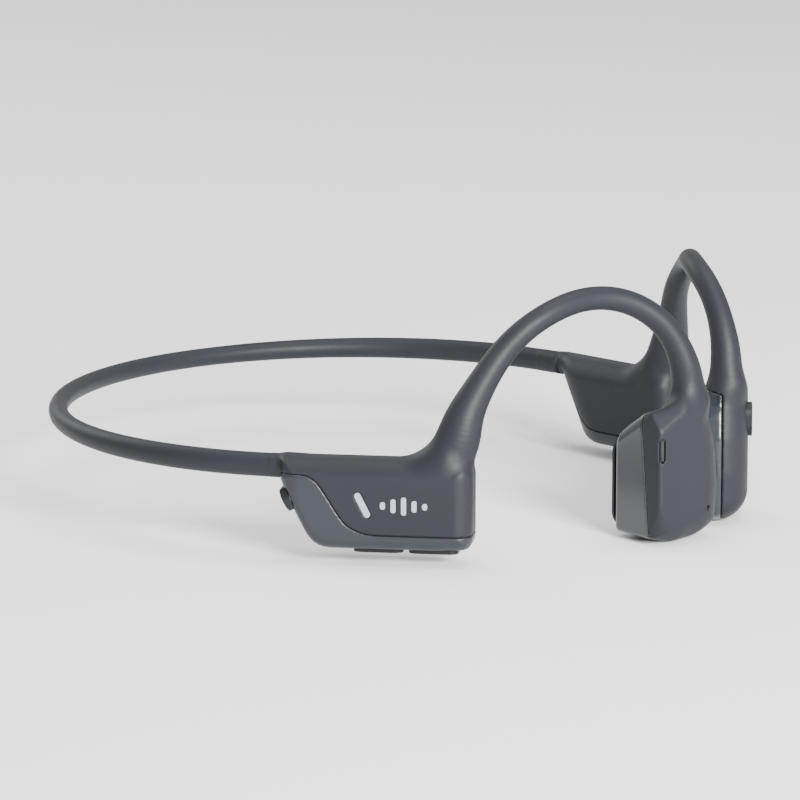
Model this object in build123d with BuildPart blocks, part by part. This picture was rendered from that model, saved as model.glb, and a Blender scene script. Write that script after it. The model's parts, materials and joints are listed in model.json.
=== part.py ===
"""Bone conduction headphones: a sprung neckband, two ear hooks and two transducer pods.

Millimetres. The wearer faces -Y and +Z is up, so the wearer's right side is -X. The origin is
under the middle of the headphones, on the surface that they stand on. The right side is modelled
first, and a piece that is the same on both sides is mirrored in the plane X = 0.
"""

import os
from math import cos, degrees, radians, sin

from build123d import *

# Neckband, seen from above: arcs of (radius, turn in degrees) from the rear middle to the right arm.
rear_y = 66.9
band_z = 17.0
rear_arc = (60.0, 45.0)
side_arc = (54.0, 55.0)
arm_arc = (60.0, 9.0)
arm_straight = 12.0
rear_tube_radius = 1.75
arm_tube_radius = 2.0
bore_radius = 1.35
wire_radius = 0.5
wire_offset = 0.65
strand_inlet = 3.5
flex_gap = 1.8

# Module behind the ear, in the arm's own plane: x forward, y up, z outward from the head.
module_rear = -15.6
module_front = 19.1
module_top = 19.1
module_bottom = 2.9
module_heel = -9.3
heel_radius = 5.0
toe_radius = 2.2
module_shoulder = 15.3
module_inner = -4.9
module_outer = 5.6
module_wall = 1.1
module_edge_radius = 1.6
frame_wall = 0.9
plate_thickness = 0.8
gasket_thickness = 0.5
gasket_width = 0.7
cover_top = 16.3
cover_sill = 5.8
seam_gap = 0.05
cover_corners = (-10.0, -3.2)
cover_bend_radius = 3.0
flare_low = -3.0
flare_high = 3.4
flare_points = [(5.5, 19.1), (9.3, 20.8), (12.9, 24.6), (14.6, 27.0), (20.6, 27.0), (19.4, 21.5)]
flare_root = 2.5
bevel_outer = 4.2
top_trim = 2.8
corner_trim = 5.4

# Ear hook: corners of the middle line, rising from the module and falling to the pod, with the
# bend radius at each corner, and the point between them where the hook twists.
hook_rear_points = [
    (-46.6, -34.3, 19.5),
    (-45.6, -35.5, 26.0),
    (-42.0, -37.1, 33.0),
    (-36.9, -40.2, 40.3),
    (-31.4, -45.2, 45.2),
    (-24.5, -48.4, 46.3),
]
hook_rear_radii = [18.0, 30.0, 22.0, 12.0, 15.0]
hook_front_points = [
    (-16.4, -53.0, 45.6),
    (-11.6, -58.9, 41.0),
    (-9.3, -62.3, 33.5),
    (-8.9, -62.9, 26.0),
]
hook_front_radii = [13.0, 15.0, 16.0]
twist_share = 0.36
twist_gap = 0.3
hook_tube_radius = 2.2

# Pod in front of the ear, in its own plane: x forward, y up, z outward from the cheek.
pod_centre = (-9.3, -59.9)
pod_turn = 65.0
pod_rear = -8.7
pod_front = 8.3
pod_bottom = 0.0
pod_heel = 1.4
pod_toe = -3.0
pod_shoulder = 24.8
pod_neck_rear = -1.0
pod_neck_front = 5.6
pod_neck_top = 29.0
pod_outer = 6.3
pod_seam = 2.0
pod_wall = 1.0
pod_half_gap = 1.3
bezel_face = -6.7
bezel_face_top = 19.3
pad_face = -7.5
pad_rear = -8.3
pad_front = 4.4
pad_low = 1.7
pad_high = 18.7
pad_corner_radius = 3.0
pad_clearance = 0.2
pad_neck_inset = 1.8
window_inset = 1.4
coil_centre = (-0.9, 10.2)
coil_radius = 4.9
magnet_radius = 3.9
yoke_radius = 6.0
yoke_open = -2.9
yoke_back = 1.2
yoke_bridge_size = (13.0, 3.0)
speaker_centre = (0.2, 18.9)
speaker_size = (11.0, 4.2)
speaker_low = -1.2
speaker_high = 1.6
slot_centre = (-6.9, 18.0)
slot_size = (1.1, 4.9)
mesh_size = (1.5, 5.6)
mesh_low = 4.75
mesh_high = 5.2
mic_centre = (3.2, 6.2)
mic_hole_radius = 0.35
mic_size = (3.2, 2.4)
mic_low = 4.0
mic_high = 5.2
pod_front_radius = 5.0
pod_rear_radius = 1.2
pod_edge_radius = 1.8

# Pieces inside the module, in the arm's plane (corners along, up and outward).
screw_points = [(-4.0, 14.4), (15.8, 14.4), (15.8, 6.0)]
screw_post_radius = 1.4
screw_hole_radius = 0.62
screw_radius = 0.6
screw_head_radius = 1.1
screw_head = 0.5
screw_socket_radius = 0.45
screw_length = 5.0
board_box = ((-6.8, 7.0, 0.0), (13.8, 12.6, 0.8))
board_chips = [
    ((1.9, 7.6, 0.8), (6.7, 12.2, 1.8)),
    ((8.0, 7.8, 0.8), (11.0, 10.8, 1.6)),
    ((8.0, 11.3, 0.8), (12.5, 12.3, 1.5)),
]
led_box = ((-1.0, 10.6, 0.8), (0.6, 12.0, 1.4))
window_centre = (-0.25, 11.3)
window_size = (4.9, 1.15)
window_angle = -63.0
battery_box = ((-0.8, 5.2, -2.2), (13.8, 14.4, 3.3))
battery_board_box = ((-4.6, 7.0, 1.6), (-1.4, 12.6, 2.3))
port_height = 11.7
port_depth = 6.6
port_shell_size = (8.94, 3.16)
port_room_size = (9.0, 3.22)
port_mouth_size = (8.34, 2.56)
port_tongue_size = (6.7, 0.7)
port_rim_size = (9.8, 4.3)
port_rim_proud = 0.9
port_rim_seat = 0.4

# Controls.
button_gap = 0.2
button_level = 0.35
button_bottom = 2.1
button_top = 3.45
button_flange = 0.3
flange_bottom = 3.2
pocket_top = 4.1
button_size = (9.0, 5.0)
button_centres = (2.1, 12.1)
switch_size = (4.0, 3.0)
switch_bottom = 4.95
switch_top = 6.5
switch_plunger_bottom = 3.85
switch_plunger_radius = 0.8
round_button_size = (4.4, 6.4)
round_button_centre = (0.6, 19.0)
round_button_proud = 0.7
round_button_depth = 1.6
round_switch_size = (3.0, 3.0)
round_switch_low = 3.9

flex_heading = rear_arc[1] - 90.0
arm_heading = flex_heading + side_arc[1] + arm_arc[1]


def heading_vector(angle):
    """Level direction, counted in degrees from straight ahead (-Y) towards the other side (+X)."""
    return Vector(sin(radians(angle)), -cos(radians(angle)), 0)


def inward_vector(angle):
    """Level direction across the heading, towards the middle of the headphones."""
    return Vector(cos(radians(angle)), sin(radians(angle)), 0)


def arm_route(height, start_trim, end_reach):
    """Middle line from the flex point to the arm, in one level plane."""
    flex_point = Vector(0, rear_y - rear_arc[0], height) - inward_vector(flex_heading) * rear_arc[0]
    side_centre = flex_point + inward_vector(flex_heading) * side_arc[0]
    trim = degrees(start_trim / side_arc[0])
    start = side_centre - inward_vector(flex_heading + trim) * side_arc[0]
    with BuildLine() as route:
        side = JernArc(start, heading_vector(flex_heading + trim), side_arc[0], side_arc[1] - trim)
        arm = JernArc(side @ 1, side % 1, arm_arc[0], arm_arc[1])
        Line(arm @ 1, arm @ 1 + (arm % 1) * end_reach)
    return route.wire()


def rear_route(height, end_trim):
    """Middle line of the rear arc, from one flex point to the other."""
    turn = rear_arc[1] - degrees(end_trim / rear_arc[0])
    with BuildLine() as route:
        CenterArc((0, rear_y - rear_arc[0], height), rear_arc[0], 90 - turn, 2 * turn)
    return route.wire()


def twist_point():
    """Point on the hook's highest run about which the pod twists."""
    before = Vector(*hook_rear_points[-1])
    after = Vector(*hook_front_points[0])
    return before + (after - before) * twist_share


def twist_direction():
    """Forward direction of the hook's highest run."""
    return (Vector(*hook_front_points[0]) - Vector(*hook_rear_points[-1])).normalized()


def hook_route(points, radii, shift=Vector(0, 0, 0)):
    """Straight runs of the hook joined by tangent arcs."""
    corners = [Vector(*point) + shift if isinstance(point, tuple) else point + shift for point in points]
    with BuildLine() as route:
        FilletPolyline(*corners, radius=radii)
    return route.wire()


def sweep_tube(route, radius, bore=0.0):
    """Sweep a round section along a route, with a bore when one is given."""
    with BuildSketch(Plane(origin=route @ 0, z_dir=route % 0)) as section:
        Circle(radius)
        if bore:
            Circle(bore, mode=Mode.SUBTRACT)
    sweep(sections=section.sketch, path=route)


arm_origin = arm_route(0, 0, arm_straight) @ 1
arm_plane = Plane(
    origin=arm_origin,
    x_dir=heading_vector(arm_heading),
    z_dir=-inward_vector(arm_heading),
)
pod_plane = Plane(
    origin=(pod_centre[0], pod_centre[1], 0),
    x_dir=(sin(radians(pod_turn)), -cos(radians(pod_turn)), 0),
    z_dir=(-cos(radians(pod_turn)), -sin(radians(pod_turn)), 0),
)


def save(piece, name):
    """Label one finished piece and write it."""
    piece.label = name
    export_step(piece, f"parts/{name}.step")


def save_pair(piece, stem):
    """Write a right-hand piece and its mirror image."""
    save(piece, f"right_{stem}")
    save(mirror(piece, about=Plane.YZ), f"left_{stem}")


# Neckband


def make_neckband():
    """Rear skin, and the spring wire and cable that run whole from module to module."""
    with BuildPart() as skin:
        sweep_tube(rear_route(band_z, flex_gap / 2), rear_tube_radius, bore_radius)
    save(skin.part, "neckband_skin")
    reach = arm_straight + module_rear + 1.0
    for name, height in (("neckband_wire", wire_offset), ("neckband_cable", -wire_offset)):
        with BuildPart() as strand:
            sweep_tube(rear_route(band_z + height, 0), wire_radius)
            sweep_tube(arm_route(band_z + height, 0, reach), wire_radius)
            mirror(about=Plane.YZ)
        save(strand.part, name)


# Module behind the ear


def module_outline(level, inset):
    """Side outline of the module at one outward level, drawn in by the inset."""
    with BuildSketch(arm_plane.offset(level)) as outline:
        with BuildLine():
            Polyline(
                (module_rear, module_top),
                (module_rear, module_shoulder),
                (module_heel, module_bottom),
                (module_front, module_bottom),
                (module_front, module_top),
                close=True,
            )
        make_face()
        fillet(outline.vertices().group_by(Axis.Y)[0].sort_by(Axis.X)[-1], toe_radius)
        fillet(outline.vertices().group_by(Axis.Y)[0].sort_by(Axis.X)[0], heel_radius)
        if inset:
            offset(amount=-inset, kind=Kind.INTERSECTION, mode=Mode.REPLACE)
    return outline.sketch


def bevel_plane(inset):
    """Plane that cuts the module's rear inner corner, facing rearward, down and inward."""
    across = Vector(0.72, 0.0, -0.69)
    slope = Vector(module_heel - module_rear, module_bottom - module_shoulder, 0.0).normalized()
    normal = across.cross(slope).normalized()
    touch = Vector(module_rear, module_shoulder, bevel_outer) - normal * inset
    origin = arm_plane.from_local_coords(touch)
    tip = arm_plane.from_local_coords(touch + normal)
    return Plane(origin=origin, z_dir=tip - origin)


def trim_module(inset, beveled):
    """Cut the solid being built back to the module's bevel, and an inner piece to the rounder top."""
    if beveled:
        split(bisect_by=bevel_plane(inset), keep=Keep.BOTTOM)
    if not inset:
        return
    for side, level in ((1, module_outer), (-1, module_inner)):
        for touch, normal in (
            (Vector(0, module_top - top_trim, level), Vector(0, 1, side).normalized()),
            (Vector(module_rear, module_top - corner_trim, level), Vector(-1, 1, side).normalized()),
        ):
            origin = arm_plane.from_local_coords(touch - normal * inset)
            tip = arm_plane.from_local_coords(touch - normal * inset + normal)
            split(bisect_by=Plane(origin=origin, z_dir=tip - origin), keep=Keep.BOTTOM)


def module_block(inner, outer, inset, beveled):
    """Solid of the module between two outward levels, drawn in by the inset."""
    extrude(module_outline(inner, inset), amount=outer - inner)
    trim_module(inset, beveled)


def cover_region():
    """Prism below the parting line of the hard cover."""
    with BuildSketch(arm_plane.offset(module_inner - 1.0), mode=Mode.PRIVATE) as region:
        with BuildLine():
            FilletPolyline(
                (module_rear - 2.0, cover_top),
                (cover_corners[0], cover_top),
                (cover_corners[1], cover_sill),
                (module_front + 2.0, cover_sill),
                radius=cover_bend_radius,
            )
            Polyline(
                (module_front + 2.0, cover_sill),
                (module_front + 2.0, -1.0),
                (module_rear - 2.0, -1.0),
                (module_rear - 2.0, cover_top),
            )
        make_face()
    return extrude(region.sketch, amount=module_outer - module_inner + 2.0, mode=Mode.PRIVATE)


def limb_flare():
    """Root of the ear hook where it rises out of the module's front top."""
    root_height = module_top - flare_root
    with BuildSketch(arm_plane.offset(flare_low)) as flare:
        with BuildLine():
            Polyline(
                (flare_points[0][0], root_height),
                *flare_points,
                (module_front, root_height),
                close=True,
            )
        make_face()
    extrude(flare.sketch, amount=flare_high - flare_low)


def rounded_module(beveled):
    """Outer solid of the module with softened edges on its two broad faces."""
    with BuildPart() as block:
        module_block(module_inner, module_outer, 0, False)
        broad_faces = block.faces().sort_by(Axis(arm_origin, arm_plane.z_dir))
        fillet(broad_faces[0].edges() + broad_faces[-1].edges(), module_edge_radius)
        if beveled:
            split(bisect_by=bevel_plane(0), keep=Keep.BOTTOM)
    return block.part


def module_room(beveled, clearance):
    """Space inside the cover and skin that the frame, gasket and plate fill."""
    inset = module_wall - clearance
    with BuildPart() as room:
        module_block(module_inner + inset, module_outer - inset, inset, beveled)
    return room.part


def level_disc(points, radius, low, high):
    """Round posts across the module at the given points, between two outward levels."""
    with BuildPart() as posts:
        with BuildSketch(arm_plane.offset(low)) as section:
            with Locations(*points):
                Circle(radius)
        extrude(section.sketch, amount=high - low)
    return posts.part


def arm_bar(size, centre, low, high):
    """Upright bar under the module, size along and across the arm, between two heights."""
    along, across = size
    plane = Plane(
        origin=arm_plane.from_local_coords((centre[0], low, centre[1])),
        x_dir=arm_plane.x_dir,
        z_dir=(0, 0, 1),
    )
    with BuildPart() as bar:
        with BuildSketch(plane) as section:
            RectangleRounded(along, across, min(along, across) * 0.3)
        extrude(section.sketch, amount=high - low)
    return bar.part


def strand_room():
    """Bores through the skins for the neckband's and the hook's wire and cable."""
    with BuildPart() as room:
        start = arm_plane.from_local_coords((module_rear - 1.0, band_z, 0))
        with BuildSketch(Plane(origin=start, z_dir=arm_plane.x_dir)) as section:
            Circle(bore_radius)
        extrude(section.sketch, amount=strand_inlet)
        route = hook_route(hook_rear_points + [twist_point()], hook_rear_radii)
        with BuildSketch(Plane(origin=route @ 0, z_dir=route % 0)) as hook_section:
            Circle(bore_radius)
        extrude(hook_section.sketch, amount=-strand_inlet)
        sweep(sections=hook_section.sketch, path=route)
    return room.part


def port_plane():
    """Plane of the charging port's mouth, on the module's rear slope, facing out of it."""
    share = (module_shoulder - port_height) / (module_shoulder - module_bottom)
    along = module_rear + (module_heel - module_rear) * share
    slope = Vector(module_heel - module_rear, module_bottom - module_shoulder, 0).normalized()
    normal = Vector(slope.Y, -slope.X, 0)
    level = (module_inner + module_outer) / 2
    origin = arm_plane.from_local_coords((along, port_height, level))
    tip = arm_plane.from_local_coords(Vector(along, port_height, level) + normal)
    return Plane(origin=origin, x_dir=arm_plane.z_dir, z_dir=tip - origin)


def port_cut():
    """Room for the charging port and its rim, through every wall that it crosses."""
    with BuildPart() as cut:
        add(port_prism(port_room_size, -port_depth - 0.1, 2.0))
        add(port_prism(port_rim_size, -port_rim_seat, 2.0))
    return cut.part


def port_prism(size, low, high):
    """Rounded bar on the charging port's axis between two depths, outward positive."""
    with BuildPart() as prism:
        with BuildSketch(port_plane().offset(low)) as section:
            RectangleRounded(size[0], size[1], size[1] * 0.49)
        extrude(section.sketch, amount=high - low)
    return prism.part


def window_prism(size, low, high):
    """Slanted pill on the module's outer face between two outward levels."""
    with BuildPart() as prism:
        with BuildSketch(arm_plane.offset(low)) as section:
            with Locations(Location(window_centre, (0, 0, window_angle))):
                SlotOverall(size[0], size[1])
        extrude(section.sketch, amount=high - low)
    return prism.part


def module_skin(beveled):
    """Soft skin of the module's upper front part, with the root of the ear hook."""
    with BuildPart() as skin:
        add(rounded_module(beveled))
        limb_flare()
        add(cover_region(), mode=Mode.SUBTRACT)
        add(module_room(beveled, seam_gap), mode=Mode.SUBTRACT)
        add(strand_room(), mode=Mode.SUBTRACT)
        if not beveled:
            add(port_cut(), mode=Mode.SUBTRACT)
            add(window_prism(window_size, 0, module_outer + 1.0), mode=Mode.SUBTRACT)
    return skin.part


def module_cover(beveled):
    """Hard cover round the module's rear and underside."""
    with BuildPart() as cover:
        add(rounded_module(beveled))
        add(cover_region(), mode=Mode.INTERSECT)
        add(module_room(beveled, seam_gap), mode=Mode.SUBTRACT)
        add(strand_room(), mode=Mode.SUBTRACT)
        if not beveled:
            add(port_cut(), mode=Mode.SUBTRACT)
            for centre in button_centres:
                slot = (button_size[0] + 2 * button_gap, button_size[1] + 2 * button_gap)
                pocket = (slot[0] + 2 * button_flange, slot[1] + 2 * button_flange)
                place = (centre, button_level)
                add(arm_bar(slot, place, 0, pocket_top), mode=Mode.SUBTRACT)
                add(arm_bar(pocket, place, flange_bottom - seam_gap, pocket_top), mode=Mode.SUBTRACT)
    return cover.part


def module_frame(beveled):
    """Stiff tray inside the module, open towards the head, with screw posts."""
    floor = module_outer - module_wall
    rim = module_inner + module_wall + plate_thickness + gasket_thickness
    with BuildPart() as frame:
        module_block(rim, floor, module_wall, beveled)
        with BuildPart(mode=Mode.PRIVATE) as cavity:
            module_block(rim, floor - frame_wall, module_wall + frame_wall, beveled)
        add(cavity.part, mode=Mode.SUBTRACT)
        add(level_disc(screw_points, screw_post_radius, rim, floor))
        add(level_disc(screw_points, screw_hole_radius, rim, floor - frame_wall), mode=Mode.SUBTRACT)
        if not beveled:
            add(port_cut(), mode=Mode.SUBTRACT)
            add(window_prism(window_size, 0, module_outer), mode=Mode.SUBTRACT)
            for centre in button_centres:
                add(switch_plunger(centre, switch_plunger_radius + 0.2), mode=Mode.SUBTRACT)
        trim_module(module_wall, beveled)
    return frame.part


def switch_plunger(centre, radius):
    """Round plunger of a volume switch, pointing down at its button."""
    base = arm_plane.from_local_coords((centre, switch_plunger_bottom, button_level))
    with BuildPart() as plunger:
        with BuildSketch(Plane.XY.offset(switch_plunger_bottom)) as section:
            with Locations((base.X, base.Y)):
                Circle(radius)
        extrude(section.sketch, amount=switch_bottom - switch_plunger_bottom)
    return plunger.part


def module_plate(beveled):
    """Inner plate that closes the tray, with countersunk screw holes."""
    low = module_inner + module_wall
    with BuildPart() as plate:
        module_block(low, low + plate_thickness, module_wall, beveled)
        add(level_disc(screw_points, screw_head_radius + 0.1, low, low + screw_head), mode=Mode.SUBTRACT)
        add(level_disc(screw_points, screw_hole_radius, low, low + 1.0), mode=Mode.SUBTRACT)
        if not beveled:
            add(port_cut(), mode=Mode.SUBTRACT)
    return plate.part


def module_gasket(beveled):
    """Soft ring pressed between the plate and the tray's rim."""
    low = module_inner + module_wall + plate_thickness
    with BuildPart() as gasket:
        module_block(low, low + gasket_thickness, module_wall, beveled)
        with BuildPart(mode=Mode.PRIVATE) as opening:
            inset = module_wall + gasket_width
            module_block(low - 0.1, low + gasket_thickness + 0.1, inset, beveled)
        add(opening.part, mode=Mode.SUBTRACT)
        if not beveled:
            add(port_cut(), mode=Mode.SUBTRACT)
    return gasket.part


def module_screws():
    """Small screws that hold the plate to the tray."""
    low = module_inner + module_wall
    with BuildPart() as screws:
        add(level_disc(screw_points, screw_head_radius, low, low + screw_head))
        add(level_disc(screw_points, screw_radius, low, low + screw_length))
        add(level_disc(screw_points, screw_socket_radius, low - 0.1, low + 0.25), mode=Mode.SUBTRACT)
    return screws.part


def block_in_arm(low_corner, high_corner, radius=0.4):
    """Box between two corners given along, up and outward in the arm's plane."""
    with BuildPart() as box:
        with BuildSketch(arm_plane.offset(low_corner[2])) as section:
            with Locations(((low_corner[0] + high_corner[0]) / 2, (low_corner[1] + high_corner[1]) / 2)):
                width = high_corner[0] - low_corner[0]
                height = high_corner[1] - low_corner[1]
                RectangleRounded(width, height, radius)
        extrude(section.sketch, amount=high_corner[2] - low_corner[2])
    return box.part


def make_arm(side):
    """Every piece of one module, and the skins of the neckband and hook beside it."""
    beveled = side == "left"

    def write(piece, stem):
        if beveled:
            piece = mirror(piece, about=Plane.YZ)
        save(piece, f"{side}_{stem}")

    write(module_skin(beveled), "module_skin")
    write(module_cover(beveled), "module_cover")
    write(module_frame(beveled), "module_frame")
    write(module_plate(beveled), "module_plate")
    write(module_gasket(beveled), "module_gasket")
    write(module_screws(), "module_screws")
    with BuildPart() as band:
        sweep_tube(arm_route(band_z, flex_gap / 2, arm_straight), arm_tube_radius, bore_radius)
        add(rounded_module(beveled), mode=Mode.SUBTRACT)
        add(module_room(beveled, seam_gap), mode=Mode.SUBTRACT)
    write(band.part, "band_skin")
    rear_points = hook_rear_points + [twist_point() - twist_direction() * (twist_gap / 2)]
    with BuildPart() as hook:
        sweep_tube(hook_route(rear_points, hook_rear_radii), hook_tube_radius, bore_radius)
        with BuildPart(mode=Mode.PRIVATE) as root:
            add(rounded_module(False))
            limb_flare()
        add(root.part, mode=Mode.SUBTRACT)
    write(hook.part, "hook_skin")


def make_hook_strands():
    """Spring wire and cable of the ear hook, whole across the twist point."""
    across = twist_direction().cross(Vector(0, 0, 1)).normalized() * wire_offset
    for stem, shift in (("hook_wire", across), ("hook_cable", across * -1)):
        with BuildPart() as strand:
            corners = hook_rear_points + hook_front_points
            radii = hook_rear_radii + hook_front_radii
            sweep_tube(hook_route(corners, radii, shift), wire_radius)
        save_pair(strand.part, stem)


def make_right_electronics():
    """Charging port, boards, switches, light and volume buttons of the right module."""
    save(port_shell(), "charging_port")
    with BuildPart() as rim:
        add(port_prism(port_rim_size, -port_rim_seat, port_rim_proud))
        add(port_prism(port_mouth_size, -1.0, port_rim_proud + 1.0), mode=Mode.SUBTRACT)
        add(port_prism(port_room_size, -1.0, 0.0), mode=Mode.SUBTRACT)
    save(rim.part, "port_rim")
    with BuildPart() as board:
        add(block_in_arm(*board_box))
        for chip in board_chips:
            add(block_in_arm(*chip, radius=0.2))
    save(board.part, "main_board")
    save(block_in_arm(*led_box, radius=0.2), "status_led")
    save(window_prism(window_size, led_box[1][2] + 0.1, module_outer + 0.05), "status_window")
    with BuildPart() as switches:
        for centre in button_centres:
            add(arm_bar(switch_size, (centre, button_level), switch_bottom, switch_top))
            add(switch_plunger(centre, switch_plunger_radius))
    save(switches.part, "volume_switches")
    for name, centre in zip(("volume_up_button", "volume_down_button"), button_centres):
        with BuildPart() as button:
            add(arm_bar(button_size, (centre, button_level), button_bottom, button_top))
            flange = (button_size[0] + 2 * button_flange, button_size[1] + 2 * button_flange)
            add(arm_bar(flange, (centre, button_level), flange_bottom, button_top))
        save(button.part, name)


def port_shell():
    """Metal shell of the charging port with its contact tongue."""
    with BuildPart() as shell:
        add(port_prism(port_shell_size, -port_depth, 0))
        add(port_prism(port_mouth_size, -port_depth + 1.0, 0.5), mode=Mode.SUBTRACT)
        add(port_prism(port_tongue_size, -port_depth + 0.5, -1.0))
    return shell.part


def make_left_electronics():
    """Battery and its protection board in the left module."""
    save(mirror(block_in_arm(*battery_box, radius=1.2), about=Plane.YZ), "battery")
    save(mirror(block_in_arm(*battery_board_box), about=Plane.YZ), "battery_board")


# Pod in front of the ear


def pod_outline(level, inset, neck):
    """Side outline of the pod at one outward level, with the hook's neck when asked for."""
    with BuildSketch(pod_plane.offset(level)) as outline:
        with BuildLine():
            corners = [
                (pod_rear, pod_bottom + pod_heel),
                (pod_toe, pod_bottom),
                (pod_front, pod_bottom),
                (pod_front - 0.6, pod_shoulder - 5.0),
            ]
            if neck:
                corners += [
                    (pod_neck_front, pod_neck_top),
                    (pod_neck_rear, pod_neck_top),
                    (pod_neck_rear - 0.6, pod_shoulder + 1.6),
                ]
            else:
                corners += [(pod_front - 1.4, pod_shoulder)]
            Polyline(*corners, (pod_rear, pod_shoulder), close=True)
        make_face()
        fillet(outline.vertices().group_by(Axis.Y)[0].sort_by(Axis.X)[-1], pod_front_radius)
        fillet(outline.vertices().sort_by(Axis.X)[0:2], pod_rear_radius)
        if inset:
            offset(amount=-inset, kind=Kind.INTERSECTION, mode=Mode.REPLACE)
    return outline.sketch


def bezel_top_plane(inset):
    """Plane of the inner housing's top, which falls towards the cheek."""
    rise = Vector(0, pod_shoulder + 0.1 - bezel_face_top, pod_seam - bezel_face)
    normal = Vector(1, 0, 0).cross(rise).normalized()
    if normal.Y < 0:
        normal = normal * -1
    touch = Vector(0, bezel_face_top, bezel_face) - normal * inset
    origin = pod_plane.from_local_coords(touch)
    tip = pod_plane.from_local_coords(touch + normal)
    return Plane(origin=origin, z_dir=tip - origin)


def pod_post(centre, outer, inner, low, high):
    """Round or ring-shaped piece across the pod between two outward levels."""
    with BuildPart() as post:
        with BuildSketch(pod_plane.offset(low)) as section:
            with Locations(centre):
                Circle(outer)
                if inner:
                    Circle(inner, mode=Mode.SUBTRACT)
        extrude(section.sketch, amount=high - low)
    return post.part


def pod_slab(centre, size, radius, low, high):
    """Rounded rectangular piece across the pod between two outward levels."""
    with BuildPart() as slab:
        with BuildSketch(pod_plane.offset(low)) as section:
            with Locations(centre):
                RectangleRounded(*size, radius)
        extrude(section.sketch, amount=high - low)
    return slab.part


def pad_slab(inset, low, high):
    """Slab with the contact pad's outline, drawn in by the inset."""
    centre = ((pad_rear + pad_front) / 2, (pad_low + pad_high) / 2)
    size = (pad_front - pad_rear - 2 * inset, pad_high - pad_low - 2 * inset)
    return pod_slab(centre, size, pad_corner_radius - inset / 2, low, high)


def pod_shell(left):
    """Outer housing of the pod, open towards the cheek."""
    with BuildPart() as shell:
        extrude(pod_outline(pod_seam, 0, True), amount=pod_outer - pod_seam)
        fillet(shell.faces().sort_by(Axis(pod_plane.origin, pod_plane.z_dir))[-1].edges(), pod_edge_radius)
        with BuildPart(mode=Mode.PRIVATE) as cavity:
            extrude(pod_outline(pod_seam, pod_wall, False), amount=pod_outer - pod_seam - pod_wall)
        add(cavity.part, mode=Mode.SUBTRACT)
        route = hook_route([twist_point()] + hook_front_points, hook_front_radii)
        with BuildSketch(Plane(origin=route @ 1, z_dir=route % 1)) as bore:
            Circle(bore_radius)
        extrude(bore.sketch, amount=-6.0, mode=Mode.SUBTRACT)
        extrude(bore.sketch, amount=3.0, mode=Mode.SUBTRACT)
        add(pod_slab(slot_centre, slot_size, slot_size[0] * 0.49, 3.0, 7.0), mode=Mode.SUBTRACT)
        add(pod_post(mic_centre, mic_hole_radius, 0, 3.0, 7.0), mode=Mode.SUBTRACT)
        if left:
            width, height = round_button_size
            hole = (width + 2 * button_gap, height + 2 * button_gap)
            add(pod_slab(round_button_centre, hole, hole[0] * 0.49, 4.0, 7.0), mode=Mode.SUBTRACT)
    return shell.part


def pod_bezel():
    """Glossy inner housing of the pod, with a window for the contact pad."""
    facet = Plane.YZ.offset(-pod_half_gap)
    with BuildPart() as bezel:
        extrude(pod_outline(bezel_face, 0, False), amount=pod_seam - seam_gap - bezel_face)
        split(bisect_by=bezel_top_plane(0), keep=Keep.BOTTOM)
        split(bisect_by=facet, keep=Keep.BOTTOM)
        with BuildPart(mode=Mode.PRIVATE) as cavity:
            extrude(pod_outline(bezel_face + pod_wall, pod_wall, False), amount=pod_seam - bezel_face)
            split(bisect_by=bezel_top_plane(pod_wall), keep=Keep.BOTTOM)
            split(bisect_by=facet.offset(-pod_wall), keep=Keep.BOTTOM)
        add(cavity.part, mode=Mode.SUBTRACT)
        add(pad_slab(window_inset, bezel_face - 1.0, bezel_face + pod_wall + 0.1), mode=Mode.SUBTRACT)
    return bezel.part


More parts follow.
